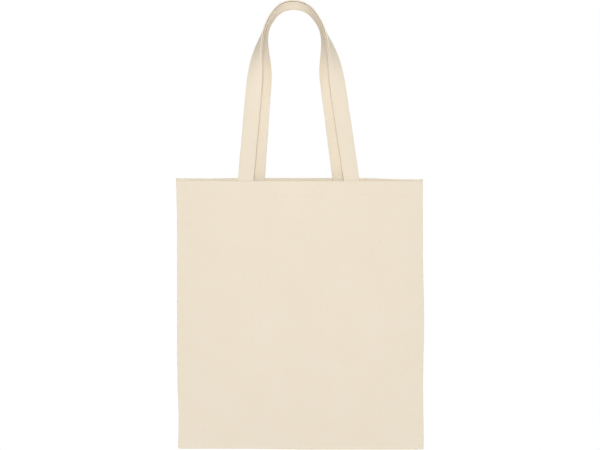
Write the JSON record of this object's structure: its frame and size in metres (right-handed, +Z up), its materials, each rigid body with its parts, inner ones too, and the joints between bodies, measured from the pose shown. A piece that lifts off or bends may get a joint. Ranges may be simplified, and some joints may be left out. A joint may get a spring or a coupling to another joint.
{
  "type": "tote bag",
  "caption": "Flat canvas tote bag with a folded hem round its open mouth and long strap handles that meet in one arch over a hook.",
  "frame": {"origin": "the point on the bag's centre plane where a hook carries the underside of both handles", "axes": "+Z up along the hanging bag, +X across it to the viewer's right when looking at the front, -Y out of the front panel"},
  "size_m": [0.38, 0.0518, 0.6873],
  "materials": {
    "body_canvas": "matte",
    "strap_canvas": "matte",
    "thread": "matte"
  },
  "bodies": {
    "seams": {"left_seam_allowance": "body_canvas", "right_seam_allowance": "body_canvas", "bottom_seam_allowance": "body_canvas", "left_overlock_thread": "thread", "right_overlock_thread": "thread", "bottom_overlock_thread": "thread"},
    "front": {"front_panel": "body_canvas", "front_hem": "body_canvas", "front_left_strap_end": "strap_canvas", "front_right_strap_end": "strap_canvas", "front_left_box_stitching": "thread", "front_right_box_stitching": "thread", "front_hem_stitching": "thread"},
    "back": {"back_panel": "body_canvas", "back_hem": "body_canvas", "back_left_strap_end": "strap_canvas", "back_right_strap_end": "strap_canvas", "back_left_box_stitching": "thread", "back_right_box_stitching": "thread", "back_hem_stitching": "thread"},
    "front_handle": {"front_handle": "strap_canvas", "front_handle_stitching": "thread"},
    "back_handle": {"back_handle": "strap_canvas", "back_handle_stitching": "thread"}
  },
  "joints": [
    {"name": "front_mouth_opening", "type": "hinge", "parent": "seams", "child": "front", "pos_m": [0, 0, -0.683], "axis": [1, 0, 0], "range_deg": [0, 6]},
    {"name": "back_mouth_opening", "type": "hinge", "parent": "seams", "child": "back", "pos_m": [0, 0, -0.683], "axis": [-1, 0, 0], "range_deg": [0, 6]},
    {"name": "front_handle_swing", "type": "hinge", "parent": "front", "child": "front_handle", "pos_m": [0, -0.01, -0.27], "axis": [1, 0, 0], "range_deg": [0, 175]},
    {"name": "back_handle_swing", "type": "hinge", "parent": "back", "child": "back_handle", "pos_m": [0, 0.01, -0.2645], "axis": [-1, 0, 0], "range_deg": [0, 175]}
  ],
  "couplings": [
    {"joint": "back_mouth_opening", "follows": "front_mouth_opening", "ratio": 1}
  ]
}
